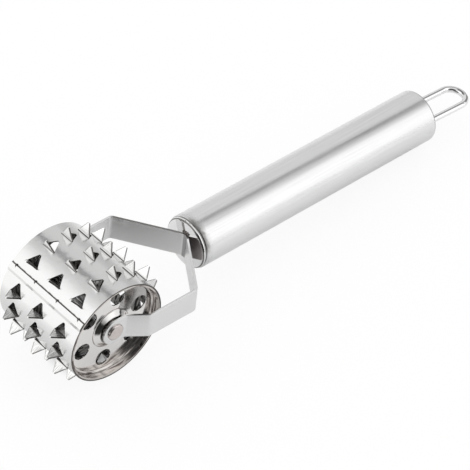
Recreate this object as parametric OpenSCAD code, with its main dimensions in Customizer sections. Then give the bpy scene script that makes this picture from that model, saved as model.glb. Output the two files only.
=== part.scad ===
// Rolling meat tenderizer: a drum of rolled sheet steel with punched teeth turns on an axle
// between the arms of a bent strip fork, on a tubular handle with a wire hanging loop.
// Millimetres. The tool lies on a table at Z = 0, resting on its teeth and on the rear of its
// handle. The axle runs along Y and the handle points to +X.

/* [Drum] */
// Outside diameter of the rolled sheet
drum_d = 47; // [44:0.5:56]
// Length along the axle
drum_len = 45; // [44:0.5:60]
// Thickness of the sheet
drum_sheet = 0.6; // [0.4:0.1:0.9]
// Width of the lap where the sheet overlaps itself, with its ramp
lap_width = 4.1; // [2.5:0.1:4.2]
// Length of the ramp that lifts the outer layer of the lap
lap_ramp = 1.5; // [0.5:0.1:2.4]
// Direction of the lap's free edge, from +X up towards +Z, as the tool lies
drum_turn = 134; // [0:1:359]

/* [Teeth] */
// Number of rows round the drum
tooth_rows = 15; // [8:1:15]
// Number of teeth in a row
teeth_per_row = 3; // [1:1:3]
// Distance between the teeth of a row
tooth_pitch = 13.9; // [9:0.1:14.5]
// Width of a tooth at its bend
tooth_base = 6.7; // [4:0.1:7.5]
// Width of a tooth's blunt point, and of the end of its hole
tooth_tip = 1; // [0.4:0.1:2]
// Height of a tooth above the drum's surface
tooth_height = 5.2; // [3:0.1:6]
// How far a tooth is bent past square, in degrees
tooth_lean = 3.5; // [0:0.5:10]
// Length of the punched hole from the middle of the tooth's sheet to its point
hole_len = 5; // [3:0.1:5.2]
// Distance along the surface between the two rows beside the lap
lap_gap = 14.5; // [14:0.1:20]
// Distance along the surface from the lap's free edge to the nearest row
lap_to_row = 4.4; // [2:0.1:5]
// Radius inside the bend of a tooth
tooth_bend = 0.7; // [0.3:0.1:1]

/* [End caps] */
// Thickness of the pressed cap
cap_sheet = 0.6; // [0.4:0.1:0.9]
// How far the far cap is turned against the near one, in degrees
far_cap_turn = 30; // [0:1:60]
// Depth of the cap's flat web below the drum's rim
cap_depth = 3.8; // [3:0.1:6]
// Radius of the corner between flange and web
cap_corner = 1.1; // [0.6:0.1:2]
// Number of round holes in the web
cap_holes = 6; // [3:1:6]
// Diameter of these holes
cap_hole_d = 7.8; // [4:0.1:9]
// Diameter of the circle that they lie on
cap_hole_circle = 30.6; // [29:0.1:32]
// Diameter of the raised boss at its foot
boss_foot_d = 17.6; // [16:0.1:19]
// Diameter of the boss's flat top
boss_top_d = 12.4; // [11:0.1:13.6]
// Height of the boss above the web
boss_height = 1.6; // [1:0.1:2.2]
// Radius of the boss's bends, at the middle of the sheet
boss_bend = 2; // [0.8:0.1:2.4]
// Length of the collar drawn inwards round the axle
collar_len = 2.4; // [1.5:0.1:4]
// Radius of the collar's bend, at the middle of the sheet
collar_bend = 0.7; // [0.5:0.1:0.9]

/* [Axle] */
// Diameter of the rod that the drum turns on
axle_d = 5; // [4:0.1:6]
// Diameter of the neck through each arm
neck_d = 4; // [3:0.1:4.5]
// Diameter of the riveted head
head_d = 7.6; // [6:0.1:9]
// Height of the riveted head
head_height = 0.9; // [0.5:0.1:1.5]
// Outside diameter of the thrust washers
washer_d = 10; // [8:0.1:11]
// Thickness of the thrust washers
washer_t = 0.4; // [0.3:0.1:0.8]

/* [Fork] */
// Width of the strip
strip_w = 11.9; // [9:0.1:14]
// Thickness of the strip
strip_t = 1; // [0.8:0.1:1.4]
// Side gap between the drum's end and the straight part of an arm
side_gap = 4; // [2:0.1:6]
// Place along the arm, from the axle, where the outward joggle starts
joggle_start = 5.6; // [5:0.1:7]
// Length of the joggle along the arm
joggle_len = 8; // [7:0.1:9]
// Distance from the axle to the corner where an arm turns in to the handle
corner_x = 38.4; // [36:0.1:42]
// Distance from the axle to the handle's front face
reach = 56.2; // [54:0.1:66]
// Width of the flat nose that is welded to the handle
nose_w = 2.6; // [2:0.1:5]
// Radius of the strip's bends in the arms, at the middle of its thickness
bend_r = 2.4; // [1.2:0.1:3]
// Radius of the two bends at the nose, at the middle of the strip's thickness
nose_bend = 1.2; // [0.8:0.1:2]
// How far the strip dips below the line from the axle to the handle, in degrees
strip_dip = 0.7; // [0:0.1:2]

/* [Handle] */
// Outside diameter of the tube
handle_d = 24; // [20:0.5:28]
// Length over both ends
handle_len = 135; // [100:1:170]
// Wall of the tube
tube_wall = 0.8; // [0.6:0.1:1.2]
// Rounding of the tube's front edge
tube_front_round = 0.4; // [0.2:0.1:0.5]
// Rounding of the tube's rear edge
tube_rear_round = 1; // [0.6:0.1:2]
// How far the polished front cap stands out of the tube
cap_proud = 1.7; // [0.8:0.1:2]
// How much smaller the front cap's radius is than the tube's
cap_step = 0.45; // [0.2:0.05:0.5]
// Rounding of the front cap's edge
cap_round = 1; // [0.4:0.1:1.2]
// Thickness of the two caps
plug_sheet = 0.9; // [0.6:0.1:1.5]
// Depth of the caps' skirts inside the tube
skirt_len = 6; // [3:0.5:12]

/* [Hanging loop] */
// Diameter of the wire
wire_d = 3; // [2:0.1:4]
// Distance between the middles of the two legs
loop_spacing = 12; // [9:0.1:14]
// Length of the loop behind the handle, over the wire
loop_len = 29.3; // [18:0.1:40]
// Length of the legs inside the handle
leg_depth = 8; // [4:0.5:15]
// How far the loop dips below the line of the handle, in degrees
loop_droop = 2.9; // [0:0.1:5]

/* [Fits] */
// Radial clearance of the caps' collars on the axle
axle_clearance = 0.06; // [0.02:0.01:0.1]
// End play between each boss and its washer
end_play = 0.1; // [0.05:0.05:0.3]
// Radial clearance between pressed or welded pieces
seat_clearance = 0.03; // [0.02:0.01:0.08]

/* [Hidden] */
$fn = 96;

steel = "silver";
polished = "gainsboro";
satin = "lightgray";
rivet_steel = "rosybrown";

// Steps of a small rounded corner, and the overlap of cutting shapes past a surface
corner_steps = 6;
overcut = 1;

drum_r = drum_d / 2;
drum_half = drum_len / 2;
handle_r = handle_d / 2;
wire_r = wire_d / 2;

// Angle at the drum's axis of a length along its surface
function surface_angle(length) = length / drum_r * 180 / PI;

// Rows of teeth, as angles from the lap's free edge
row_step = (360 - surface_angle(lap_gap)) / (tooth_rows - 1);
row_angles = [for (i = [0:tooth_rows - 1]) -surface_angle(lap_to_row) - i * row_step];
tooth_places = [for (i = [0:teeth_per_row - 1]) (i - (teeth_per_row - 1) / 2) * tooth_pitch];

// The two corners of a tooth's point, seen along the axle, as [x, z] from the axle as the tool lies
lean_shift = tooth_height * tan(tooth_lean);
tip_corners = [
    for (row = row_angles, side = [-1, 1])
        let (
            across = side * drum_sheet / 2 + lean_shift,
            r = norm([drum_r + tooth_height, across]),
            angle = drum_turn + row + atan2(across, drum_r + tooth_height)
        )
        r * [cos(angle), sin(angle)]
];

// Places along the axle, from the middle of the drum
web_y = drum_half - cap_depth;
boss_top_y = web_y + boss_height;
washer_y = boss_top_y + end_play;
arm_end_in = washer_y + washer_t;
arm_end_mid = arm_end_in + strip_t / 2;
arm_mid = drum_half + side_gap + strip_t / 2;

// Places along the handle, from the axle
tube_front = reach + cap_proud;
handle_end = reach + handle_len;
loop_radius = loop_spacing / 2;
loop_arc = loop_len - loop_radius - wire_r;
tube_bore = handle_r - tube_wall;
skirt_r = tube_bore - seat_clearance;

// The tool lies on its lowest teeth and on the rounded rear edge of the handle
axle_z = max([for (tip = tip_corners) -tip[1]]);
rear_x = handle_end - tube_rear_round;
rear_r = handle_r - tube_rear_round;
tilt = asin((axle_z - tube_rear_round) / norm([rear_x, rear_r])) - atan2(rear_r, rear_x);

// The middle of the tool's length is at X = 0
front_end = min([for (tip = tip_corners) tip[0]]);
rear_end = handle_end * cos(tilt) + (loop_arc + loop_radius) * cos(tilt + loop_droop) + wire_r;
axle_x = -(front_end + rear_end) / 2;

// Points of an arc about a centre, from one angle to another
function arc(centre, r, from, to, steps = corner_steps) =
    [for (i = [0:steps]) let (a = from + (to - from) * i / steps) centre + r * [cos(a), sin(a)]];

function unit(v) = v / norm(v);
function left_of(v) = [-v[1], v[0]];
function turned(v, a) = [v[0] * cos(a) - v[1] * sin(a), v[0] * sin(a) + v[1] * cos(a)];
function reversed(list) = [for (i = [len(list) - 1:-1:0]) list[i]];

// Points of a rounded bend at b on the way from a to c, each with the direction to its left
function bend(a, b, c, r) =
    let (
        before = unit(b - a),
        after = unit(c - b),
        side = sign(before[0] * after[1] - before[1] * after[0]),
        angle = acos(before * after),
        start = b - before * r * tan(angle / 2),
        centre = start + side * r * left_of(before)
    )
    [
        for (i = [0:corner_steps])
            let (out = turned(left_of(before), side * angle * i / corner_steps))
            [centre - side * r * out, out]
    ];

// Outline of sheet of even thickness along a route with rounded bends
function sheet_outline(route, thickness, radii) =
    let (
        last = len(route) - 1,
        first_left = left_of(unit(route[1] - route[0])),
        last_left = left_of(unit(route[last] - route[last - 1])),
        middle = [for (i = [1:last - 1]) each bend(route[i - 1], route[i], route[i + 1], radii[i - 1])],
        line = concat([[route[0], first_left]], middle, [[route[last], last_left]])
    )
    concat(
        [for (p = line) p[0] + p[1] * thickness / 2],
        reversed([for (p = line) p[0] - p[1] * thickness / 2])
    );

// The drum's axis is Z inside this frame, and the lap's free edge lies at angle 0
module drum_frame() {
    translate([axle_x, 0, axle_z])
        rotate([90, 0, 0])
            rotate([0, 0, drum_turn])
                children();
}

// The axle is at the origin and the handle's axis is X inside this frame
module tool_frame() {
    translate([axle_x, 0, axle_z])
        rotate([0, tilt, 0])
            children();
}

// A turned piece on the handle's axis, from an outline of [radius, distance along X]
module turned_on_handle(outline) {
    rotate([0, 90, 0])
        rotate_extrude()
            polygon(outline);
}

// Cross-section of a tooth: the sheet leaves the drum's wall, rounds the bend and stands up
module tooth_section() {
    // How far the tooth reaches into the wall, and where round the bend it leaves the surface
    inside = 0.06;
    bend_end = 60;
    bend_centre = [
        drum_r - inside + tooth_bend * sin(bend_end),
        drum_sheet / 2 + tooth_bend
    ];
    // Rounding on the hole's side
    outer_bend = drum_sheet * 0.6;
    wall_in = drum_r - drum_sheet + inside;
    polygon(concat(
        arc(bend_centre, tooth_bend, 270 - bend_end, 270),
        [
            [drum_r + tooth_height, drum_sheet / 2 + lean_shift],
            [drum_r + tooth_height, -drum_sheet / 2 + lean_shift]
        ],
        arc([wall_in + outer_bend, outer_bend - drum_sheet / 2], outer_bend, 270, 180),
        [[wall_in, drum_sheet / 2 + tooth_bend * (1 - cos(bend_end))]]
    ));
}

// One tooth, standing on the drum's wall at angle 0
module tooth() {
    // The sides are straight up to this height, and then run to the blunt point
    root = 0.2;
    intersection() {
        linear_extrude(tooth_base + 2 * overcut, center = true)
            tooth_section();
        rotate([90, 0, 0])
            linear_extrude(2 * tooth_height, center = true)
                polygon([
                    [drum_r - drum_sheet, -tooth_base / 2],
                    [drum_r + root, -tooth_base / 2],
                    [drum_r + tooth_height, -tooth_tip / 2],
                    [drum_r + tooth_height, tooth_tip / 2],
                    [drum_r + root, tooth_base / 2],
                    [drum_r - drum_sheet, tooth_base / 2]
                ]);
    }
}

// The hole that a tooth leaves when it is punched out
module tooth_hole() {
    rotate([90, 0, 90])
        translate([0, 0, drum_r - drum_sheet - overcut])
            linear_extrude(drum_sheet + 2 * overcut)
                polygon([
                    [0, -tooth_base / 2],
                    [0, tooth_base / 2],
                    [-hole_len, tooth_tip / 2],
                    [-hole_len, -tooth_tip / 2]
                ]);
}

module at_each_tooth() {
    for (row = row_angles, place = tooth_places)
        rotate([0, 0, row])
            translate([0, 0, place])
                children();
}

// The outer layer of the lap: it rises over a ramp and ends in a free edge at angle 0
module lap() {
    bite = drum_sheet / 2;
    flat_end = surface_angle(lap_width - lap_ramp);
    ramp_end = surface_angle(lap_width);
    linear_extrude(drum_len, center = true)
        polygon(concat(
            arc([0, 0], drum_r + drum_sheet, 0, flat_end),
            [(drum_r - bite / 2) * [cos(ramp_end), sin(ramp_end)]],
            arc([0, 0], drum_r - bite, flat_end, 0)
        ));
}

module drum_shell() {
    color(steel)
        drum_frame() {
            difference() {
                union() {
                    cylinder(r = drum_r, h = drum_len, center = true);
                    lap();
                }
                cylinder(r = drum_r - drum_sheet, h = drum_len + 2 * overcut, center = true);
                at_each_tooth() tooth_hole();
            }
            at_each_tooth() tooth();
        }
}

// Outline of a pressed cap, as [radius, distance along the axle from the drum's middle]: collar,
// boss, web and flange
function cap_outline() =
    let (
        collar_mid = axle_d / 2 + axle_clearance + cap_sheet / 2,
        flange_mid = drum_r - drum_sheet - seat_clearance - cap_sheet / 2,
        top_mid = boss_top_y - cap_sheet / 2,
        web_mid = web_y - cap_sheet / 2
    )
    sheet_outline(
        [
            [collar_mid, boss_top_y - collar_len],
            [collar_mid, top_mid],
            [boss_top_d / 2, top_mid],
            [boss_foot_d / 2, web_mid],
            [flange_mid, web_mid],
            [flange_mid, drum_half]
        ],
        cap_sheet,
        [collar_bend, boss_bend, boss_bend, cap_corner + cap_sheet / 2]
    );

// A pressed cap whose open side points to +Z
module pressed_cap() {
    difference() {
        rotate_extrude()
            polygon(cap_outline());
        for (i = [0:cap_holes - 1])
            rotate([0, 0, i * 360 / cap_holes])
                translate([cap_hole_circle / 2, 0, web_y - cap_sheet - overcut])
                    cylinder(d = cap_hole_d, h = cap_sheet + 2 * overcut);
    }
}

module end_cap_near() {
    color(steel)
        drum_frame()
            pressed_cap();
}

module end_cap_far() {
    color(steel)
        drum_frame()
            mirror([0, 0, 1])
                rotate([0, 0, far_cap_turn])
                    pressed_cap();
}

// One end of the axle, as [radius, distance along it]: the rod's shoulder, the neck and the
// rounded head
function axle_end_outline() =
    let (
        arm_out = arm_end_in + strip_t,
        head_r = head_d / 2,
        rounding = head_height * 0.8
    )
    concat(
        [
            [axle_d / 2, arm_end_in],
            [neck_d / 2, arm_end_in],
            [neck_d / 2, arm_out],
            [head_r, arm_out]
        ],
        arc([head_r - rounding, arm_out + head_height - rounding], rounding, 0, 90),
        [[0, arm_out + head_height]]
    );

module axle() {
    near_end = axle_end_outline();
    far_end = [for (p = reversed(near_end)) [p[0], -p[1]]];
    color(rivet_steel)
        tool_frame()
            rotate([90, 0, 0])
                rotate_extrude()
                    polygon(concat(near_end, far_end));
}

// A thrust washer between a boss and the arm beside it: side is 1 at the near end, -1 at the far
module washer(side) {
    color(polished)
        tool_frame()
            rotate([90 * side, 0, 0])
                translate([0, 0, washer_y])
                    difference() {
                        cylinder(d = washer_d, h = washer_t);
                        translate([0, 0, -overcut])
                            cylinder(r = axle_d / 2 + axle_clearance, h = washer_t + 2 * overcut);
                    }
}

// Middle line of the strip from the near arm's end to the far arm's end, seen square to the strip.
// The dipping nose runs past the handle's front face all over, and is cut flush with it later.
function fork_route() =
    let (
        nose_face = (reach + strip_w / 2 * sin(strip_dip)) / cos(strip_dip),
        half = [
            [-strip_w, -arm_end_mid],
            [joggle_start, -arm_end_mid],
            [joggle_start + joggle_len, -arm_mid],
            [corner_x, -arm_mid],
            [nose_face - strip_t / 2, -nose_w / 2]
        ]
    )
    concat(half, [for (p = reversed(half)) [p[0], -p[1]]]);

module fork() {
    // The arms' ends are rounded a little wider than the strip, so that they meet its edges cleanly
    end_rounding = 0.1;
    half_bends = [bend_r, bend_r, bend_r, nose_bend];
    bends = concat(half_bends, reversed(half_bends));
    color(satin)
        tool_frame()
            difference() {
                intersection() {
                    rotate([0, strip_dip, 0])
                        linear_extrude(strip_w, center = true)
                            polygon(sheet_outline(fork_route(), strip_t, bends));
                    union() {
                        rotate([90, 0, 0])
                            cylinder(r = strip_w / 2 + end_rounding, h = 4 * arm_mid, center = true);
                        translate([0, -2 * arm_mid, -strip_w])
                            cube([reach, 4 * arm_mid, 2 * strip_w]);
                    }
                }
                rotate([90, 0, 0])
                    cylinder(r = neck_d / 2 + seat_clearance, h = 4 * arm_mid, center = true);
            }
}

module handle_tube() {
    color(satin)
        tool_frame()
            turned_on_handle(concat(
                [[tube_bore, tube_front]],
                arc(
                    [handle_r - tube_front_round, tube_front + tube_front_round],
                    tube_front_round, 270, 360
                ),
                arc([rear_r, rear_x], tube_rear_round, 0, 90),
                [[tube_bore, handle_end]]
            ));
}

module front_cap() {
    rim_r = handle_r - cap_step;
    color(polished)
        tool_frame()
            turned_on_handle(concat(
                [[0, reach]],
                arc([rim_r - cap_round, reach + cap_round], cap_round, 270, 360),
                [
                    [rim_r, tube_front],
                    [skirt_r, tube_front],
                    [skirt_r, tube_front + skirt_len],
                    [skirt_r - plug_sheet, tube_front + skirt_len],
                    [skirt_r - plug_sheet, reach + plug_sheet],
                    [0, reach + plug_sheet]
                ]
            ));
}

// The loop's own frame: its legs run along X from the handle's rear face
module loop_frame() {
    tool_frame()
        translate([handle_end, 0, 0])
            rotate([0, loop_droop, 0])
                children();
}

module rear_cap() {
    color(satin)
        difference() {
            tool_frame()
                turned_on_handle([
                    [0, handle_end],
                    [skirt_r, handle_end],
                    [skirt_r, handle_end - skirt_len],
                    [skirt_r - plug_sheet, handle_end - skirt_len],
                    [skirt_r - plug_sheet, handle_end - plug_sheet],
                    [0, handle_end - plug_sheet]
                ]);
            loop_frame()
                for (side = [-1, 1])
                    translate([-plug_sheet - overcut, side * loop_radius, 0])
                        rotate([0, 90, 0])
                            cylinder(r = wire_r + seat_clearance, h = plug_sheet + 2 * overcut);
        }
}

module hanging_loop() {
    color(polished)
        loop_frame() {
            for (side = [-1, 1])
                translate([-leg_depth, side * loop_radius, 0])
                    rotate([0, 90, 0])
                        cylinder(r = wire_r, h = leg_depth + loop_arc);
            translate([loop_arc, 0, 0])
                rotate([0, 0, -90])
                    rotate_extrude(angle = 180)
                        translate([loop_radius, 0])
                            circle(r = wire_r);
        }
}

drum_shell();
end_cap_near();
end_cap_far();
axle();
washer(1);  // washer_near
washer(-1);  // washer_far
fork();
handle_tube();
front_cap();
rear_cap();
hanging_loop();
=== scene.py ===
import math

import bmesh
import bpy
from mathutils import Matrix, Vector


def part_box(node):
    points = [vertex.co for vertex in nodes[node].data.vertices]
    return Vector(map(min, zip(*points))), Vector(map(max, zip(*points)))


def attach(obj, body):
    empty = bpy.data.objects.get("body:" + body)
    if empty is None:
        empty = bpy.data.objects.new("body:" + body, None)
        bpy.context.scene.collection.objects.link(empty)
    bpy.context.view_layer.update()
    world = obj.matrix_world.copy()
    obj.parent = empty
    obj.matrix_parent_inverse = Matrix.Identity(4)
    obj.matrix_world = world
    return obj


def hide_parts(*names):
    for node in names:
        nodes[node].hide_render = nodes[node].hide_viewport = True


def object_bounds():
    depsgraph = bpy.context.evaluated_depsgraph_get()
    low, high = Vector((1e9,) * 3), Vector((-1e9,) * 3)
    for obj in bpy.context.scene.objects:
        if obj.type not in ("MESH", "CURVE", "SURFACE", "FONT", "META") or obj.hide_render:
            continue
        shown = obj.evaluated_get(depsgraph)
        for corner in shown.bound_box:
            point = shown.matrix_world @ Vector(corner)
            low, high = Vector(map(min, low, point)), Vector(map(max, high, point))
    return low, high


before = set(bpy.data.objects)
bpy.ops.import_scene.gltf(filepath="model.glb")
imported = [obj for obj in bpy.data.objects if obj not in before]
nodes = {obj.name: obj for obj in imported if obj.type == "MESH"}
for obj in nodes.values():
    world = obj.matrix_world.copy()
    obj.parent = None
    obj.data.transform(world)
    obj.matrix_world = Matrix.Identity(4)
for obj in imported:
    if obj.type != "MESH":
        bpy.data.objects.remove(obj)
cad_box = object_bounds()

# Drum shell
# One strip of bright stainless sheet, pierced and rolled into a drum. Its teeth are three-cornered
# flaps pushed out of the sheet, and its free edge is spot-welded over the other end. The sheet is
# brushed round the drum and its sheared edges are dark. The teeth carry a painted highlight and
# painted shade round their rims, painted shade lies in the creases and beside the free edge, and the
# inside is left streaked.

MM = 0.001
DRUM_RADIUS = 23.5 * MM
INNER_WALL = (23.15 * MM, 22.95 * MM)
LAP_RADIUS = 23.8 * MM
LAP_TOP = (24.05 * MM, 23.95 * MM)
LAP_EDGE = math.radians(134.0)
CREVICE_WIDTH = 0.7 * MM
CREVICE_CORE = 0.28 * MM
CREVICE_WAVES = 420.0
WELD_ANGLE = math.radians(133.7)
WELD_PLACES = (19.6 * MM, 7.6 * MM, -6.0 * MM, -19.2 * MM)
WELD_BURN = (0.85 * MM, 0.255 * MM)
TOOTH_PITCH = 13.9 * MM
TOOTH_HALF_BASE = 3.35 * MM
TOOTH_HALF_TIP = 0.5 * MM
TOOTH_HEIGHT = 5.2 * MM
TOOTH_STARTS = (24.2 * MM, 25.0 * MM)
TOOTH_RIM = (0.45 * MM, 0.18 * MM)
BEND_ENDS = (23.85 * MM, 23.7 * MM)
BEND_FACING = (0.45, 0.6)
CUT_FACING = (0.2, 0.35)
DRAG_FACING = (-0.5, -0.8)
DRAG_DEPTH = (0.35, 0.65)
DRAG_OUT = 300.0
DRAG_ACROSS = 2600.0
DRAG_ROUND = 4.0
DRUM_STEEL = (0.72, 0.72, 0.715, 1.0)
DRUM_STEEL_DULL = (0.64, 0.64, 0.635, 1.0)
CUT_AND_CREASE_SHADE_STEEL = (0.14, 0.13, 0.125, 1.0)
TOOTH_HIGHLIGHT_STEEL = (0.9, 0.9, 0.895, 1.0)
TOOTH_RIM_SHADE = (0.3, 0.295, 0.29, 1.0)
TOOTH_RIM_SHADE_SHARE = 0.8
DRAGGED_STEEL = (0.36, 0.355, 0.35, 1.0)
DRAGGED_SHARE = 0.7
WELD_TINT = (0.09, 0.08, 0.075, 1.0)
WELD_TINT_SHARE = 0.85
INSIDE_STEEL = (0.74, 0.73, 0.72, 1.0)
INSIDE_DARK = (0.05, 0.048, 0.046, 1.0)
INSIDE_STREAKS_ROUND = 5.0
INSIDE_STREAKS_ACROSS = 800.0
INSIDE_STREAKS_DEPTH = (0.4, 0.6)
DRUM_GRAIN_ROUND = 60.0
DRUM_GRAIN_ACROSS = 9000.0
DRUM_CLOUDS = 140.0
SHEET_WAVES = 260.0
GRAIN_HEIGHT = 0.4
WAVE_HEIGHT = 8.0
BURN_HEIGHT = -4.0
SHEET_RELIEF = 0.01 * MM
DRUM_CLOUD_SHARE = 0.6
DRUM_ROUGH = 0.12
DRUM_LINE_ROUGH = 0.08
DRUM_CLOUD_ROUGH = 0.06
INSIDE_ROUGH = 0.1
CUT_ROUGH = 0.3
TOOTH_ROUGH = 0.08
BURN_ROUGH = 0.2
NOISE_MIDDLE = 0.5

axle_low, axle_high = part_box("axle")
drum_axis = (axle_low + axle_high) / 2


class Shade:
    """One socket of a node tree. Arithmetic on it adds the Math nodes that work it out."""

    def __init__(self, tree, socket=None):
        self.tree = tree
        self.socket = socket

    def add(self, kind, settings=None, sockets=None, output=0):
        """Adds any other node: its settings first, then its sockets' values or links."""
        node = self.tree.nodes.new(kind)
        for name, value in (settings or {}).items():
            setattr(node, name, value)
        for name, value in (sockets or {}).items():
            self.plug(value, node.inputs[name])
        return Shade(self.tree, node.outputs[output] if node.outputs else None)

    def plug(self, value, place):
        """Links a shade to a socket, or sets the socket's own value."""
        if isinstance(value, Shade):
            self.tree.links.new(value.socket, place)
        else:
            place.default_value = value

    def maths(self, operation, *values):
        """Adds a Math node that works on these values, in this order."""
        return self.add("ShaderNodeMath", {"operation": operation}, dict(enumerate(values)))

    def __add__(self, other):
        return self.maths("ADD", self, other)

    def __radd__(self, other):
        return self.maths("ADD", other, self)

    def __sub__(self, other):
        return self.maths("SUBTRACT", self, other)

    def __rsub__(self, other):
        return self.maths("SUBTRACT", other, self)

    def __mul__(self, other):
        return self.maths("MULTIPLY", self, other)

    def __rmul__(self, other):
        return self.maths("MULTIPLY", other, self)

    def absolute(self):
        return self.maths("ABSOLUTE", self)

    def largest(self, other):
        return self.maths("MAXIMUM", self, other)

    def clamped(self, low, high):
        """Runs from 0 at low to 1 at high, smoothly, and stays there. High may be the smaller one."""
        settings = {"interpolation_type": "SMOOTHSTEP"}
        return self.add("ShaderNodeMapRange", settings, {"Value": self, "From Min": low, "From Max": high})

    def tint(self, dull, bright):
        """A colour between two, by this shade. A Mix node's colour sockets go by their numbers."""
        return self.add("ShaderNodeMix", {"data_type": "RGBA"}, {0: self, 6: dull, 7: bright}, output=2)

    def along(self, direction):
        """How far this vector reaches along a direction."""
        settings = {"operation": "DOT_PRODUCT"}
        return self.add("ShaderNodeVectorMath", settings, {0: self, 1: direction}, output="Value")

    def away_from(self, centre):
        """How far this place is from another."""
        settings = {"operation": "DISTANCE"}
        return self.add("ShaderNodeVectorMath", settings, {0: self, 1: centre}, output="Value")

    def noise(self, scale, detail=2.0):
        """Soft noise over this place, around one half."""
        return self.add("ShaderNodeTexNoise", None, {"Vector": self, "Scale": scale, "Detail": detail})

    def grain(self, x, y, z, detail=2.0):
        """Noise drawn out into lines or streaks. Each direction comes with its own scale."""
        return self.add("ShaderNodeCombineXYZ", None, {"X": x, "Y": y, "Z": z}).noise(1.0, detail)

    def parts(self):
        """The three numbers of a vector."""
        node = self.tree.nodes.new("ShaderNodeSeparateXYZ")
        self.plug(self, node.inputs[0])
        return [Shade(self.tree, socket) for socket in node.outputs]


def empty_tree(owner):
    """Starts the nodes of a material or a world afresh."""
    owner.use_nodes = True
    owner.node_tree.nodes.clear()
    return Shade(owner.node_tree)


def steel_finish(name, draw):
    """A bare steel material. draw gives the sockets that change over the surface."""
    material = bpy.data.materials.new(name)
    start = empty_tree(material)
    place = start.add("ShaderNodeTexCoord", output="Object")
    surface = start.add("ShaderNodeBsdfPrincipled", None, {"Metallic": 1.0, **draw(place)})
    start.add("ShaderNodeOutputMaterial", None, {"Surface": surface})
    return material


def dress(piece, material):
    """Gives a piece its finish."""
    piece.data.materials.clear()
    piece.data.materials.append(material)


def at_axle(place):
    """Places measured from the middle of the axle."""
    return place.add("ShaderNodeMapping", None, {"Vector": place, "Location": -drum_axis})


def facing(place):
    """The way that the surface faces, in the piece's own directions."""
    return place.add("ShaderNodeTexCoord", output="Normal")


def length_of(a, b):
    """Length of a vector that has these two parts."""
    return a.maths("SQRT", a * a + b * b)


def blend(first, second, share):
    """Two noises in one. share is the first one's part of it."""
    return first * share + second * (1 - share)


def bumped(height, distance):
    """The surface's normal, tipped by a height. A height of 1 stands for the distance."""
    return height.add("ShaderNodeBump", None, {"Height": height, "Distance": distance})


def on_drum(angle, radius, y):
    """A place at an angle round the axle and a distance from it."""
    return drum_axis + Vector((math.cos(angle) * radius, y, math.sin(angle) * radius))


def tooth_rim_shade(y, away):
    """Marks the painted shade round the rims of the teeth in their three rings. The teeth narrow towards
    their tips.
    """
    from_middle = y.absolute()
    beside = y.maths("MINIMUM", from_middle, (from_middle - TOOTH_PITCH).absolute())
    taper = (TOOTH_HALF_BASE - TOOTH_HALF_TIP) / TOOTH_HEIGHT
    half_width = TOOTH_HALF_BASE - (away - DRUM_RADIUS) * taper
    return (half_width - beside).clamped(*TOOTH_RIM)


def lap_crevice_shade(y, angle):
    """Marks the wavy line of painted shade beside the sheet's free edge."""
    wavy = y.grain(0.0, y * CREVICE_WAVES, 0.0) - NOISE_MIDDLE
    to_edge = (LAP_EDGE - angle) * DRUM_RADIUS - wavy * CREVICE_WIDTH
    return to_edge.clamped(CREVICE_WIDTH, CREVICE_CORE) * to_edge.clamped(-CREVICE_WIDTH, 0.0)


def weld_burn(place):
    """Marks the burnt patch round each spot weld on the seam."""
    burn = 0.0
    for weld_y in WELD_PLACES:
        burn = burn + place.away_from(on_drum(WELD_ANGLE, LAP_RADIUS, weld_y)).clamped(*WELD_BURN)
    return burn


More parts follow.
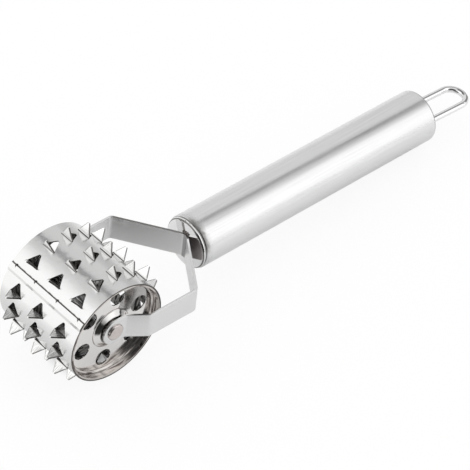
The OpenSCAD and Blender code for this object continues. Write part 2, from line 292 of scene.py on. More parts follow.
def drum_sheet(place):
    """Rolled sheet: fine lines round the drum, teeth with a painted highlight, painted shade round
    their rims, dragged inner faces, dark sheared edges, painted shade in the creases and beside the
    free edge, burnt welds, and streaks inside."""
    from_axle = at_axle(place)
    x, y, z = from_axle.parts()
    away = length_of(x, z)
    angle = x.maths("ARCTAN2", z, x)
    facing_x, facing_y, facing_z = facing(place).parts()
    forwards = (facing_z * x - facing_x * z) * (1 / DRUM_RADIUS)

    lines = place.grain(angle * DRUM_GRAIN_ROUND, y * DRUM_GRAIN_ACROSS, 0.0, detail=3.0)
    clouds = from_axle.noise(DRUM_CLOUDS, detail=3.0)
    waves = from_axle.noise(SHEET_WAVES, detail=1.0)
    drag = place.grain(away * DRAG_OUT, y * DRAG_ACROSS, angle * DRAG_ROUND, detail=3.0)
    streaks = place.grain(angle * INSIDE_STREAKS_ROUND, y * INSIDE_STREAKS_ACROSS, 0.0)

    inside = away.clamped(*INNER_WALL)
    tooth = away.clamped(*TOOTH_STARTS)
    rim = tooth_rim_shade(y, away) * tooth
    dragged = tooth * forwards.clamped(*DRAG_FACING) * drag.clamped(*DRAG_DEPTH)
    # Painted shade in the bends at the teeth's bases and beside the seam's free edge, in the sheared
    # edges' dark colour.
    crease_shade = forwards.absolute().clamped(*BEND_FACING) * away.clamped(*BEND_ENDS)
    crease_shade = crease_shade.largest(lap_crevice_shade(y, angle) * away.clamped(*LAP_TOP))
    cut_and_crease_shade = facing_y.absolute().clamped(*CUT_FACING).largest(crease_shade)
    burn = weld_burn(place)

    colour = blend(clouds, lines, DRUM_CLOUD_SHARE).tint(DRUM_STEEL_DULL, DRUM_STEEL)
    # Painted highlight: the teeth are brighter than the same sheet around them.
    colour = tooth.tint(colour, TOOTH_HIGHLIGHT_STEEL)
    colour = (dragged * DRAGGED_SHARE).tint(colour, DRAGGED_STEEL)
    # Painted shade round the rims of the teeth.
    colour = (rim * TOOTH_RIM_SHADE_SHARE).tint(colour, TOOTH_RIM_SHADE)
    colour = (burn * WELD_TINT_SHARE).tint(colour, WELD_TINT)
    streaked = streaks.clamped(*INSIDE_STREAKS_DEPTH).tint(INSIDE_DARK, INSIDE_STEEL)
    colour = inside.tint(colour, streaked)
    rough = DRUM_ROUGH + lines * DRUM_LINE_ROUGH + clouds * DRUM_CLOUD_ROUGH
    rough = rough + inside * INSIDE_ROUGH + cut_and_crease_shade * CUT_ROUGH + tooth * TOOTH_ROUGH + burn * BURN_ROUGH
    height = lines * GRAIN_HEIGHT + waves * WAVE_HEIGHT + burn * BURN_HEIGHT
    return {
        "Base Color": cut_and_crease_shade.tint(colour, CUT_AND_CREASE_SHADE_STEEL),
        "Roughness": rough,
        "Normal": bumped(height, SHEET_RELIEF),
    }


dress(nodes["drum_shell"], steel_finish("drum_steel", drum_sheet))

# Seam welds
# Four small spot welds that hold the drum's free edge down on its other end. Each is a short lump of
# weld metal across the seam, scaled and darkened by the heat.

SPOT_LUMPS = (-0.25 * MM, 0.3 * MM, 0.85 * MM)
SPOT_SWELL = (0.34 * MM, 0.42 * MM, 0.3 * MM)
SPOT_SHIFT = (0.18 * MM, 0.0, -0.2 * MM)
SPOT_RADIUS = 23.88 * MM
SPOT_VOXEL = 0.08 * MM
LUMP_FINENESS = 3
MELTING_STEPS = 4
WELD_METAL = (0.1, 0.088, 0.082, 1.0)
WELD_METAL_BRIGHT = (0.3, 0.28, 0.27, 1.0)
WELD_RIPPLES = 1400.0
RIPPLE_DEPTH = (0.4, 0.7)
RIPPLE_RELIEF = 0.05 * MM
WELD_ROUGH = 0.3
RIPPLE_ROUGH = 0.2


def finished(name, mesh):
    """Makes a smooth piece of a mesh and puts it in the scene."""
    data = bpy.data.meshes.new(name)
    mesh.to_mesh(data)
    mesh.free()
    data.shade_smooth()
    piece = bpy.data.objects.new(name, data)
    bpy.context.scene.collection.objects.link(piece)
    return piece


def fused_lumps(name, lumps, voxel):
    """Weld metal: round lumps, each with its place and radius, fused into beads."""
    mesh = bmesh.new()
    for place, radius in lumps:
        at_place = Matrix.Translation(place)
        bmesh.ops.create_icosphere(mesh, subdivisions=LUMP_FINENESS, radius=radius, matrix=at_place)
    piece = finished(name, mesh)
    fused = piece.modifiers.new("fused", "REMESH")
    fused.mode = "VOXEL"
    fused.voxel_size = voxel
    fused.use_smooth_shade = True
    melted = piece.modifiers.new("melted", "SMOOTH")
    melted.iterations = MELTING_STEPS
    return piece


def spot_lumps():
    """Places and radii of the lumps across the seam, at each weld."""
    for weld_y in WELD_PLACES:
        for along_seam, radius, shift in zip(SPOT_LUMPS, SPOT_SWELL, SPOT_SHIFT):
            angle = WELD_ANGLE + along_seam / DRUM_RADIUS
            yield on_drum(angle, SPOT_RADIUS, weld_y + shift), radius


def scaled_weld(place):
    """Weld metal: dark scale with brighter ripples."""
    ripples = place.noise(WELD_RIPPLES, detail=3.0)
    return {
        "Base Color": ripples.clamped(*RIPPLE_DEPTH).tint(WELD_METAL, WELD_METAL_BRIGHT),
        "Roughness": WELD_ROUGH + ripples * RIPPLE_ROUGH,
        "Normal": bumped(ripples, RIPPLE_RELIEF),
    }


weld_finish = steel_finish("weld_metal", scaled_weld)
spots = fused_lumps("seam_welds", spot_lumps(), SPOT_VOXEL)
dress(spots, weld_finish)
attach(spots, "roller")

# End caps
# Two dished caps drawn from bright sheet, each with six drain holes and a pressed boss. They are
# pushed into the drum's ends, and their collars run on the axle. The flange is darker and streaked,
# painted shade lies in broken lines at the boss's foot and the flange's corner, and a ring of painted
# shade lies on the boss round the washer. The far cap sits a little further round than the near one.

CAP_STEEL = (0.79, 0.775, 0.765, 1.0)
CAP_STEEL_DULL = (0.70, 0.685, 0.67, 1.0)
CAP_GRAIN = 5200.0
CAP_CLOUDS = 260.0
CAP_RELIEF = 0.01 * MM
RING_HEIGHT = 0.3
CLOUD_HEIGHT = 0.8
CAP_CLOUD_SHARE = 0.7
CAP_ROUGH = 0.05
CAP_RING_ROUGH = 0.05
CAP_CLOUD_ROUGH = 0.05
BACK_ROUGH = 0.15
FLANGE = (21.3 * MM, 21.9 * MM)
FLANGE_STEEL = (0.56, 0.53, 0.508, 1.0)
FLANGE_DARK = (0.12, 0.1, 0.092, 1.0)
FLANGE_STREAKS_ROUND = 3.0
FLANGE_STREAKS_ACROSS = 1000.0
FLANGE_STREAKS_DEPTH = (0.33, 0.55)
CAP_CREASE_SHADE = (0.26, 0.235, 0.22, 1.0)
CAP_CREASE_SHADE_RADII = (9.25 * MM, 21.1 * MM)
CAP_CREASE_SHADE_WIDTH = (0.3 * MM, 0.12 * MM)
CAP_CREASE_SHADE_BREAKS = (0.3, 0.55)
BOSS_RING_SHADE = (0.12, 0.115, 0.11, 1.0)
BOSS_RING_SHADE_RADIUS = 6.15 * MM
BOSS_RING_SHADE_WIDTH = (0.5 * MM, 0.25 * MM)
BACK_FACING = (-0.2, -0.5)
BACK_STREAKS_X = 900.0
BACK_STREAKS_Z = 150.0
BACK_STREAKS_DEPTH = (0.35, 0.65)
FAR_CAP_TURN = math.radians(20.0)
CAP_EDGE_ANGLE = math.radians(35.0)
MERGE_DISTANCE = 0.001 * MM


def merged_copy(node):
    """A copy of a CAD node's mesh, with its loose triangles joined."""
    mesh = bmesh.new()
    mesh.from_mesh(nodes[node].data)
    bmesh.ops.remove_doubles(mesh, verts=mesh.verts, dist=MERGE_DISTANCE)
    return mesh


def keep_edges(piece, angle):
    """Keeps the edges that are sharper than an angle, and shades the flats evenly."""
    piece.data.set_sharp_from_angle(angle=angle)
    even = piece.modifiers.new("even shading", "WEIGHTED_NORMAL")
    even.keep_sharp = True


def turned_cap(node, name, turn):
    """A copy of a CAD cap, turned in the drum so that its holes lie elsewhere."""
    mesh = merged_copy(node)
    bmesh.ops.rotate(mesh, verts=mesh.verts, cent=drum_axis, matrix=Matrix.Rotation(turn, 3, "Y"))
    piece = finished(name, mesh)
    keep_edges(piece, CAP_EDGE_ANGLE)
    return piece


def band(value, middle, halves):
    """Marks a soft band on both sides of a middle value."""
    return (value - middle).absolute().clamped(*halves)


def pressed_sheet(place):
    """Drawn sheet: a slightly warm cast, rings left by the press, broken lines of painted shade at the
    boss's foot and the flange's corner, a ring of painted shade round the washer, and streaks on the
    flange and on the face inside the drum."""
    from_middle = at_axle(place)
    x, y, z = from_middle.parts()
    from_axle = length_of(x, z)
    angle = x.maths("ARCTAN2", z, x)
    facing_y = facing(place).parts()[1]
    rings = place.grain(from_axle * CAP_GRAIN, y * CAP_GRAIN, 0.0)
    clouds = from_middle.noise(CAP_CLOUDS, detail=3.0)
    drawn = place.grain(angle * FLANGE_STREAKS_ROUND, y * FLANGE_STREAKS_ACROSS, 0.0)
    streaks = place.grain(x * BACK_STREAKS_X, 0.0, z * BACK_STREAKS_Z)
    inwards = (facing_y * y.maths("SIGN", y)).clamped(*BACK_FACING)

    colour = blend(clouds, rings, CAP_CLOUD_SHARE).tint(CAP_STEEL_DULL, CAP_STEEL)
    flange = drawn.clamped(*FLANGE_STREAKS_DEPTH).tint(FLANGE_DARK, FLANGE_STEEL)
    colour = from_axle.clamped(*FLANGE).tint(colour, flange)
    # Painted shade in broken lines at the boss's foot and at the flange's corner.
    for radius in CAP_CREASE_SHADE_RADII:
        line = band(from_axle, radius, CAP_CREASE_SHADE_WIDTH) * clouds.clamped(*CAP_CREASE_SHADE_BREAKS)
        colour = line.tint(colour, CAP_CREASE_SHADE)
    # Painted shade in a ring on the boss, round the washer.
    colour = band(from_axle, BOSS_RING_SHADE_RADIUS, BOSS_RING_SHADE_WIDTH).tint(colour, BOSS_RING_SHADE)
    back = streaks.clamped(*BACK_STREAKS_DEPTH).tint(INSIDE_DARK, INSIDE_STEEL)
    rough = CAP_ROUGH + rings * CAP_RING_ROUGH + clouds * CAP_CLOUD_ROUGH
    return {
        "Base Color": inwards.tint(colour, back),
        "Roughness": rough + inwards * BACK_ROUGH,
        "Normal": bumped(rings * RING_HEIGHT + clouds * CLOUD_HEIGHT, CAP_RELIEF),
    }


cap_finish = steel_finish("cap_steel", pressed_sheet)
dress(nodes["end_cap_near"], cap_finish)
far_cap = turned_cap("end_cap_far", "far_cap", FAR_CAP_TURN)
dress(far_cap, cap_finish)
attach(far_cap, "roller")
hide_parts("end_cap_far")

# Axle and washers
# A drawn steel rod through the drum, riveted over outside both arms of the fork, with a thin washer
# under each arm. The rod keeps lines from drawing, and the hammered heads are warmer and duller.

RIVET_STEEL = (0.66, 0.61, 0.59, 1.0)
RIVET_STEEL_DULL = (0.52, 0.47, 0.45, 1.0)
DIMPLES = 900.0
DIMPLE_RELIEF = 0.03 * MM
RIVET_GRAIN = 6000.0
RIVET_GRAIN_HEIGHT = 0.1
RIVET_ROUGH = 0.14
RIVET_GRAIN_ROUGH = 0.1
ROD_STEEL = (0.86, 0.85, 0.845, 1.0)
ROD_DARK = (0.06, 0.058, 0.056, 1.0)
ROD_ENDS = (19.5 * MM, 19.0 * MM)
ROD_LINES_ROUND = 9.0
ROD_LINES_ALONG = 20.0
ROD_LINES_DEPTH = (0.42, 0.58)


def peened_pin(place):
    """Drawn rod with dark lines along it, and hammered ends with shallow dimples and a warm cast."""
    x, y, z = at_axle(place).parts()
    angle = x.maths("ARCTAN2", z, x)
    lines = place.grain(angle * ROD_LINES_ROUND, y * ROD_LINES_ALONG, 0.0, detail=0.0)
    rod = lines.clamped(*ROD_LINES_DEPTH).tint(ROD_DARK, ROD_STEEL)
    dimples = place.noise(DIMPLES)
    grain = place.noise(RIVET_GRAIN)
    ends = dimples.tint(RIVET_STEEL_DULL, RIVET_STEEL)
    return {
        "Base Color": y.absolute().clamped(*ROD_ENDS).tint(ends, rod),
        "Roughness": RIVET_ROUGH + grain * RIVET_GRAIN_ROUGH,
        "Normal": bumped(dimples + grain * RIVET_GRAIN_HEIGHT, DIMPLE_RELIEF),
    }


rivet_finish = steel_finish("rivet_steel", peened_pin)
for pin in ("axle", "washer_near", "washer_far"):
    dress(nodes[pin], rivet_finish)

# Fork
# A single strip of satin stainless, bent into two cranked arms that meet at a nose behind the drum.
# Its sheared edges are broken by tumbling. The nose is welded to the handle's front cap. Painted shade
# darkens the inside of the nose, the back of the near leg by the nose, and the far leg's upper edge.

HANDLE_TILT = math.radians(5.022)
STRIP_EDGE = 0.3 * MM
STRIP_EDGE_STEPS = 3
FLAT_ANGLE = math.radians(0.4)
EDGE_ANGLE = math.radians(40.0)
STRIP_STEEL = (0.75, 0.75, 0.75, 1.0)
STRIP_STEEL_DULL = (0.68, 0.68, 0.68, 1.0)
STRIP_GRAIN_ALONG = 120.0
STRIP_GRAIN_ACROSS = 9000.0
STRIP_CLOUDS = 160.0
STRIP_RELIEF = 0.006 * MM
STRIP_CLOUD_SHARE = 0.6
STRIP_ROUGH = 0.16
STRIP_LINE_ROUGH = 0.1
STRIP_CLOUD_ROUGH = 0.04
NOSE_REACH = 56.2 * MM
LEG_BACK_SHADE_BLACK = (0.22, 0.2, 0.198, 1.0)
LEG_BACK_SHADE_BROWN = (0.6, 0.56, 0.55, 1.0)
LEG_BACK_SHADE_REACH = 9.5 * MM
LEG_BACK_SHADE_FULL = 5.7 * MM
LEG_BACK_SHADE_WANDER = 3.8 * MM
LEG_BACK_SHADE_FACING = (0.2, 0.5)
LEG_BACK_SHADE_ROUGH = 0.2
NEAR_LEG = (0.0, -1.0 * MM)
FAR_EDGE_SHADE = (0.2, 0.195, 0.19, 1.0)
FAR_EDGE_FACING = (0.6, 0.8)
FAR_LEG = (0.0, 1.0 * MM)
LEG_STARTS = (37.4 * MM, 39.4 * MM)
NOSE_INSIDE_SHADE = (0.3, 0.295, 0.297, 1.0)
NOSE_INSIDE_SHADE_SIDE = -0.6 * MM
NOSE_INSIDE_SHADE_HALF = (1.6 * MM, 0.7 * MM)
NOSE_INSIDE_SHADE_FACING = (-0.3, -0.6)


def broken_edges(node, name, width):
    """A copy of a CAD node with its sharp edges rounded."""
    mesh = merged_copy(node)
    bmesh.ops.dissolve_limit(mesh, angle_limit=FLAT_ANGLE, verts=mesh.verts, edges=mesh.edges)
    sharp = [edge for edge in mesh.edges if edge.is_manifold and edge.calc_face_angle() > EDGE_ANGLE]
    bmesh.ops.bevel(mesh, geom=sharp, affect="EDGES", offset=width, offset_type="OFFSET",
                    segments=STRIP_EDGE_STEPS, profile=0.5, material=-1, clamp_overlap=True)
    piece = finished(name, mesh)
    keep_edges(piece, EDGE_ANGLE)
    return piece


def along_handle(place):
    """Places measured from the axle, with x along the tilted handle."""
    sockets = {"Vector": at_axle(place), "Rotation": (0.0, -HANDLE_TILT, 0.0)}
    return place.add("ShaderNodeMapping", None, sockets)


def satin_strip(place):
    """Satin strip: fine lines along it, painted shade on the far leg's upper edge and inside the nose,
    and brown-black painted shade on the back of the near leg by the weld."""
    x, y, z = along_handle(place).parts()
    facing_x, _, facing_z = facing(place).parts()
    grain = (x * STRIP_GRAIN_ALONG, y * STRIP_GRAIN_ALONG, z * STRIP_GRAIN_ACROSS)
    lines = place.grain(*grain, detail=3.0)
    clouds = place.noise(STRIP_CLOUDS)
    # Painted shade on the back of the near leg, by the nose: black close to it and brown further off.
    from_nose = NOSE_REACH - x + (clouds - NOISE_MIDDLE) * LEG_BACK_SHADE_WANDER
    leg_back_shade = from_nose.clamped(LEG_BACK_SHADE_REACH, LEG_BACK_SHADE_FULL) * facing_x.clamped(*LEG_BACK_SHADE_FACING) * y.clamped(*NEAR_LEG)
    # Painted shade on the far leg's upper edge.
    far_edge_shade = facing_z.clamped(*FAR_EDGE_FACING) * y.clamped(*FAR_LEG) * x.clamped(*LEG_STARTS)
    # Painted shade on the inside of the nose.
    nose_inside_shade = band(y, NOSE_INSIDE_SHADE_SIDE, NOSE_INSIDE_SHADE_HALF) * facing_x.clamped(*NOSE_INSIDE_SHADE_FACING)

    colour = blend(clouds, lines, STRIP_CLOUD_SHARE).tint(STRIP_STEEL_DULL, STRIP_STEEL)
    colour = nose_inside_shade.tint(colour, NOSE_INSIDE_SHADE)
    colour = far_edge_shade.tint(colour, FAR_EDGE_SHADE)
    darkened = from_nose.clamped(0.0, LEG_BACK_SHADE_REACH).tint(LEG_BACK_SHADE_BLACK, LEG_BACK_SHADE_BROWN)
    rough = STRIP_ROUGH + lines * STRIP_LINE_ROUGH + clouds * STRIP_CLOUD_ROUGH
    return {
        "Base Color": leg_back_shade.tint(colour, darkened),
        "Roughness": rough + leg_back_shade * LEG_BACK_SHADE_ROUGH,
        "Normal": bumped(lines, STRIP_RELIEF),
    }


fork = broken_edges("fork", "fork_strip", STRIP_EDGE)
dress(fork, steel_finish("strip_steel", satin_strip))
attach(fork, "handle")
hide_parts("fork")

# Nose weld
# Two short beads of weld metal along the upper and lower edges of the fork's nose, where it meets the
# handle's front cap. They are scaled and darkened by the heat.

BEAD_RADIUS = 0.62 * MM
BEAD_LUMPS = (-1.5 * MM, -0.5 * MM, 0.5 * MM, 1.5 * MM)
BEAD_SWELL = (0.86, 1.08, 1.0, 0.8)
BEAD_X = 56.05 * MM
BEAD_HEIGHTS = (6.05 * MM, -6.05 * MM)
BEAD_VOXEL = 0.12 * MM

handle_frame = Matrix.Translation(drum_axis) @ Matrix.Rotation(HANDLE_TILT, 4, "Y")


def bead_lumps():
    """Places and radii of the overlapping lumps, in two rows."""
    for height in BEAD_HEIGHTS:
        for lump, swell in zip(BEAD_LUMPS, BEAD_SWELL):
            yield handle_frame @ Vector((BEAD_X, lump, height)), BEAD_RADIUS * swell


beads = fused_lumps("nose_weld", bead_lumps(), BEAD_VOXEL)
dress(beads, weld_finish)
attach(beads, "handle")

# Handle tube
# A straight stainless tube, ground to a satin with fine lines along its length. Its front end is
# closed by a polished cup and its rear end by a cap that is flush with it. Heat has stained the front
# end, most of all on the side by the weld.

TUBE_RADIUS = 12.0 * MM
TUBE_FRONT = 57.9 * MM
TUBE_REAR = 191.2 * MM
TUBE_STEEL = (0.755, 0.755, 0.755, 1.0)
TUBE_STEEL_DULL = (0.675, 0.675, 0.675, 1.0)
TUBE_GRAIN_ALONG = 40.0
TUBE_GRAIN_ACROSS = 2200.0
TUBE_GRAIN_DEPTH = (0.3, 0.7)
TUBE_CLOUDS = 90.0
TUBE_BLOTCHES = 380.0
TUBE_RELIEF = 0.003 * MM
TUBE_CLOUD_SHARE = 0.4
TUBE_ROUGH = 0.14
TUBE_LINE_ROUGH = 0.08
TUBE_CLOUD_ROUGH = 0.03
REAR_DARK = (0.24, 0.235, 0.23, 1.0)
REAR_LINE = (1.0 * MM, 0.6 * MM)
WELD_SIDE = math.radians(35.0)
WELD_SIDE_ENDS = (0.64, 0.94)
TUBE_STAIN = (0.42, 0.415, 0.41, 1.0)
STAIN_REACH = 4.5 * MM
STAIN_ROUND = 0.2
STAIN_BY_WELD = 0.6
STAIN_ROUGH = 0.1
TUBE_SCORCH = (0.14, 0.135, 0.13, 1.0)
SCORCH_REACH = 2.2 * MM
SCORCH_ROUND = 0.1
SCORCH_BY_WELD = 0.7


def ground_tube(place):
    """Satin tube: lines along the handle, a stained and scorched front and a dark line at its rear."""
    x, y, z = along_handle(place).parts()
    grain = (x * TUBE_GRAIN_ALONG, y * TUBE_GRAIN_ACROSS, z * TUBE_GRAIN_ACROSS)
    lines = place.grain(*grain, detail=3.0)
    clouds = place.noise(TUBE_CLOUDS)
    blotches = (place.noise(TUBE_BLOTCHES, detail=3.0) - NOISE_MIDDLE) * STAIN_REACH
    stain = (x - TUBE_FRONT + blotches).clamped(STAIN_REACH, 0.0)
    darkened = (x - TUBE_FRONT - blotches).clamped(SCORCH_REACH, 0.0)
    by_weld = (z * math.cos(WELD_SIDE) - y * math.sin(WELD_SIDE)) * (1 / TUBE_RADIUS)
    by_weld = by_weld.clamped(*WELD_SIDE_ENDS)

    satin = blend(clouds, lines.clamped(*TUBE_GRAIN_DEPTH), TUBE_CLOUD_SHARE)
    colour = satin.tint(TUBE_STEEL_DULL, TUBE_STEEL)
    colour = (stain * (STAIN_ROUND + STAIN_BY_WELD * by_weld)).tint(colour, TUBE_STAIN)
    colour = (darkened * (SCORCH_ROUND + SCORCH_BY_WELD * by_weld)).tint(colour, TUBE_SCORCH)
    rough = TUBE_ROUGH + lines * TUBE_LINE_ROUGH + clouds * TUBE_CLOUD_ROUGH
    return {
        "Base Color": (TUBE_REAR - x).clamped(*REAR_LINE).tint(colour, REAR_DARK),
        "Roughness": rough + stain * STAIN_ROUGH,
        "Normal": bumped(lines, TUBE_RELIEF),
    }


tube_finish = steel_finish("handle_steel", ground_tube)
dress(nodes["handle_tube"], tube_finish)
dress(nodes["rear_cap"], tube_finish)

# Front cap and hanging loop
# The front cap is a polished cup pressed into the tube, to which the fork is welded, with painted
# shade on its rim and seat. The loop is a bent length of polished wire, held in two holes of the rear
# cap. A line of painted shade runs along the wire beside its top, with two short strokes of painted
# shade at the bend.

POLISHED_STEEL = (0.86, 0.86, 0.86, 1.0)
POLISHED_STEEL_DULL = (0.78, 0.78, 0.78, 1.0)
POLISHING_MARKS = 700.0
POLISHED_RELIEF = 0.004 * MM
POLISHED_ROUGH = 0.03
MARK_ROUGH = 0.05
EDGE_ROUGH = 0.1
RIM_SHADE_STEEL = (0.16, 0.155, 0.15, 1.0)
RIM_SHADE_FACING = (-0.3, -0.5)
DISC_EDGE = (10.9 * MM, 11.0 * MM)
RIM_SEAT = (57.15 * MM, 57.4 * MM)
RIM_SEAT_DEPTH = 0.85
LOOP_DROOP = math.radians(2.9)
LOOP_TILT = HANDLE_TILT + LOOP_DROOP
LOOP_UP = (math.sin(LOOP_TILT), 0.0, math.cos(LOOP_TILT))
LOOP_ARC = 21.8 * MM
LOOP_RADIUS = 6.0 * MM
WIRE_RADIUS = 1.5 * MM
SHADE_LINE = (0.12, 0.118, 0.115, 1.0)
SHADE_LINE_DEPTH = 0.8
SHADE_LINE_INNER = math.cos(math.radians(7.0))
SHADE_LINE_OUTER = math.cos(math.radians(19.0))
SHADE_LINE_SOFT = 0.004
SHADE_LINE_SIDE = (0.02, -0.06)
BEND_SHADE_STROKES = ((math.radians(55.0), 1.0), (math.radians(5.0), -1.0))
STROKE_LENGTH = (3.0 * MM, 2.0 * MM)
STROKE_FROM = (0.05, 0.14)
STROKE_TO = (0.7, 0.6)
STROKE_TOP = (0.0, 0.2)

loop_frame = handle_frame @ Matrix.Translation((TUBE_REAR, 0.0, 0.0))
loop_frame = loop_frame @ Matrix.Rotation(LOOP_DROOP, 4, "Y")
loop_bend = loop_frame @ Matrix.Translation((LOOP_ARC, 0.0, 0.0))


def polished_steel(place):
    """Polished steel: nearly a mirror, with faint polishing marks, and painted shade on a cap's rim and
    its seat.
    """
    x, y, z = along_handle(place).parts()
    facing_x = facing(place).parts()[0]
    marks = place.noise(POLISHING_MARKS, detail=4.0)
    outer = length_of(y, z).clamped(*DISC_EDGE)
    # Painted shade on the cap's rim and on its seat in the tube.
    edge = outer * facing_x.clamped(*RIM_SHADE_FACING) + outer * x.clamped(*RIM_SEAT) * RIM_SEAT_DEPTH
    return {
        "Base Color": edge.tint(marks.tint(POLISHED_STEEL_DULL, POLISHED_STEEL), RIM_SHADE_STEEL),
        "Roughness": POLISHED_ROUGH + marks * MARK_ROUGH + edge * EDGE_ROUGH,
        "Normal": bumped(marks, POLISHED_RELIEF),
    }


def shaded_wire(place):
    """Polished wire with a line of painted shade beside its top, and two strokes of painted shade at the
    bend.
    """
    finish = polished_steel(place)
    outwards = facing(place)
    upwards = outwards.along(LOOP_UP)
    # Painted shade in a line beside the wire's top, on its near side.
    line = upwards.clamped(SHADE_LINE_OUTER - SHADE_LINE_SOFT, SHADE_LINE_OUTER + SHADE_LINE_SOFT)
    line = line * upwards.clamped(SHADE_LINE_INNER + SHADE_LINE_SOFT, SHADE_LINE_INNER - SHADE_LINE_SOFT)
    line = line * outwards.parts()[1].clamped(*SHADE_LINE_SIDE)
    # Painted shade in two short strokes at the bend.
    for turn, side in BEND_SHADE_STROKES:
        spoke = loop_bend @ Matrix.Rotation(-turn, 4, "Z")
        centre = spoke @ Vector((LOOP_RADIUS, 0.0, WIRE_RADIUS))
        leaning = outwards.along(spoke.col[0].xyz) * side
        stroke = place.away_from(centre).clamped(*STROKE_LENGTH) * upwards.clamped(*STROKE_TOP)
        line = line.largest(stroke * leaning.clamped(*STROKE_FROM) * leaning.clamped(*STROKE_TO))
    finish["Base Color"] = (line * SHADE_LINE_DEPTH).tint(finish["Base Color"], SHADE_LINE)
    return finish


dress(nodes["front_cap"], steel_finish("polished_steel", polished_steel))
dress(nodes["hanging_loop"], steel_finish("polished_wire", shaded_wire))

# Floor
# A plain white table that runs up to the horizon. The camera sees it near white, with a faint shadow
# under the drum. In the steel alone, as painted reflections, the table is black at its front and glows
# at its left.

WHITE = (1.0, 1.0, 1.0, 1.0)
FLOOR_SIZE = 8.0
FLOOR_DROP = 0.2 * MM
FLOOR_WHITE = (0.92, 0.92, 0.92, 1.0)
FLOOR_GLOSS = 0.22
SHADOW_HIDDEN = 0.89
GLOSSY_HIDDEN = 0.1
FULL_WHITE = 1.0
NO_LIGHT = 0.0
UNDER_DRUM = (8.0 * MM, 17.0 * MM)
TABLE_FRONT = (-0.607, -0.795, 0.0)
TABLE_ENDS = (50.0 * MM, 70.0 * MM)
BEYOND_TABLE = 0.96
TABLE_SIDE = (1.0, 0.0, 0.0)
FRONT_WIDTH = (100.0 * MM, 50.0 * MM)
TABLE_LEFT = (-0.845, 0.535, 0.0)
LEFT_ENDS = (50.0 * MM, 180.0 * MM)
LEFT_LIGHT = 1.38

ground_z = cad_box[0][2]
floor_mesh = bmesh.new()
bmesh.ops.create_grid(floor_mesh, x_segments=1, y_segments=1, size=FLOOR_SIZE / 2)
bmesh.ops.translate(floor_mesh, verts=floor_mesh.verts, vec=(0.0, 0.0, ground_z - FLOOR_DROP))
floor = finished("floor", floor_mesh)

floor_material = bpy.data.materials.new("white_table")
table = empty_tree(floor_material)


def shining(strength):
    """A plain white glow."""
    return table.add("ShaderNodeEmission", None, {"Color": WHITE, "Strength": strength})


def mixed(factor, first, second):
    """A surface between two, by a factor."""
    return table.add("ShaderNodeMixShader", None, {0: factor, 1: first, 2: second})


to_camera = table.add("ShaderNodeLightPath", output="Is Camera Ray")
to_steel = table.add("ShaderNodeLightPath", output="Is Glossy Ray")
to_glass = table.add("ShaderNodeLightPath", output="Is Transmission Ray")
ground = table.add("ShaderNodeTexCoord", output="Object")
under = ground.away_from((drum_axis.x, drum_axis.y, ground_z)).clamped(*UNDER_DRUM)
hidden = to_camera * SHADOW_HIDDEN * under + (to_steel + to_glass) * GLOSSY_HIDDEN
from_drum = at_axle(ground)
# Painted reflections in the steel: the table is black at its front and glows at its left.
beyond = from_drum.along(TABLE_FRONT).clamped(*TABLE_ENDS) * to_steel * BEYOND_TABLE
beyond = beyond * from_drum.along(TABLE_SIDE).clamped(*FRONT_WIDTH)
left_glow = from_drum.along(TABLE_LEFT).clamped(*LEFT_ENDS) * to_steel

paint = table.add("ShaderNodeBsdfPrincipled", None, {"Base Color": FLOOR_WHITE, "Roughness": FLOOR_GLOSS})
table_top = mixed(hidden, paint, shining(FULL_WHITE))
table_top = mixed(beyond, table_top, shining(NO_LIGHT))
table_top = mixed(left_glow, table_top, shining(LEFT_LIGHT))
table.add("ShaderNodeOutputMaterial", None, {"Surface": table_top})
dress(floor, floor_material)

# Studio light
# A white tent with two broad soft lights, one on the near side and one at the far left. A dark gap
# between two sheets runs overhead and stops at the front right. The tent is open and dark where the
# lens looks in, and a little darker in its far corner.

TENT_LEVEL = 0.87
TABLE_LIGHT = 1.09
GAP_ACROSS = (-0.563, -0.50, 0.624)
GAP_EDGE = (0.03, 0.046)
GAP_FADE = (0.195, 0.06)
GAP_STOP = (0.52, -0.85, 0.05)
GAP_STOP_RIM = (0.97, 0.86)
GAP_NEAR = 0.88
GAP_FAR = 0.95
GAP_DEEPENS = (0.1, 0.5)
FAR_SIDE = (0.0, 1.0, 0.0)
SOFT_LIGHTS = (
    ((0.50, -0.73, 0.465), (0.77, 0.97), 0.54),
    ((-0.76, 0.53, 0.36), (0.60, 0.94), 0.55),
)
OPEN_FRONT = (-0.551, -0.721, 0.420)
OPEN_RIM = (0.70, 0.84)
OPEN_DARK = 0.88
FAR_CORNER = (0.85, 0.524, 0.05)
CORNER_RIM = (0.90, 0.98)
CORNER_DARK = 0.2

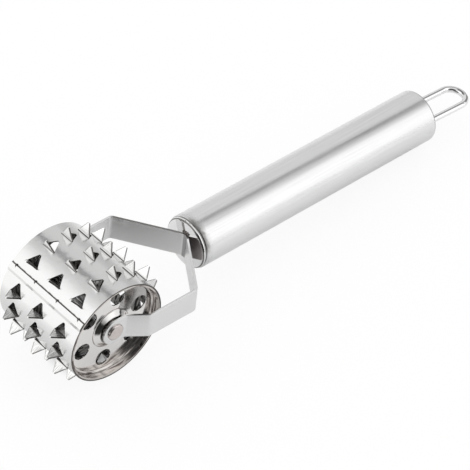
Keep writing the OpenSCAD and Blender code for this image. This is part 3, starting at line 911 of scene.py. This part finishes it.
world = bpy.data.worlds.new("studio")
bpy.context.scene.world = world
tent = empty_tree(world)
towards = tent.add("ShaderNodeTexCoord")

across = towards.along(GAP_ACROSS)
gap = across.clamped(*GAP_EDGE) * across.clamped(*GAP_FADE)
gap = gap * towards.along(GAP_STOP).clamped(*GAP_STOP_RIM)
depth = GAP_NEAR + (GAP_FAR - GAP_NEAR) * towards.along(FAR_SIDE).clamped(*GAP_DEEPENS)
level = TENT_LEVEL * (1.0 - gap * depth)
for centre, rim, strength in SOFT_LIGHTS:
    level = level + towards.along(centre).clamped(*rim) * strength
level = level * (1.0 - towards.along(OPEN_FRONT).clamped(*OPEN_RIM) * OPEN_DARK)
level = level * (1.0 - towards.along(FAR_CORNER).clamped(*CORNER_RIM) * CORNER_DARK)
on_table = tent.add("ShaderNodeLightPath", output="Is Diffuse Ray")
level = level + (TABLE_LIGHT - level) * on_table
backdrop = tent.add("ShaderNodeLightPath", output="Is Camera Ray")
brightness = level + (1.0 - level) * backdrop
light = tent.add("ShaderNodeBackground", None, {"Color": WHITE, "Strength": brightness})
tent.add("ShaderNodeOutputWorld", None, {"Surface": light})

# Camera
# A long lens above and to the left, at the place that was fitted to the photograph, without shift
# or depth of field.

CAMERA_PLACE = (-0.60656, -0.64602, 0.93502)
CAMERA_AZIMUTH = math.radians(-42.6507)
CAMERA_ELEVATION = math.radians(46.4987)
CAMERA_ROLL = math.radians(1.2272)
CAMERA_LENS = 232.235
CAMERA_SENSOR = 36.0

camera_data = bpy.data.cameras.new("camera")
camera_data.lens = CAMERA_LENS
camera_data.sensor_width = CAMERA_SENSOR
camera = bpy.data.objects.new("camera", camera_data)
turn = Matrix.Rotation(CAMERA_AZIMUTH, 4, "Z") @ Matrix.Rotation(math.pi / 2 - CAMERA_ELEVATION, 4, "X")
camera.matrix_world = Matrix.Translation(CAMERA_PLACE) @ turn @ Matrix.Rotation(CAMERA_ROLL, 4, "Z")
bpy.context.scene.collection.objects.link(camera)
bpy.context.scene.camera = camera
bpy.context.scene.view_settings.view_transform = "Standard"
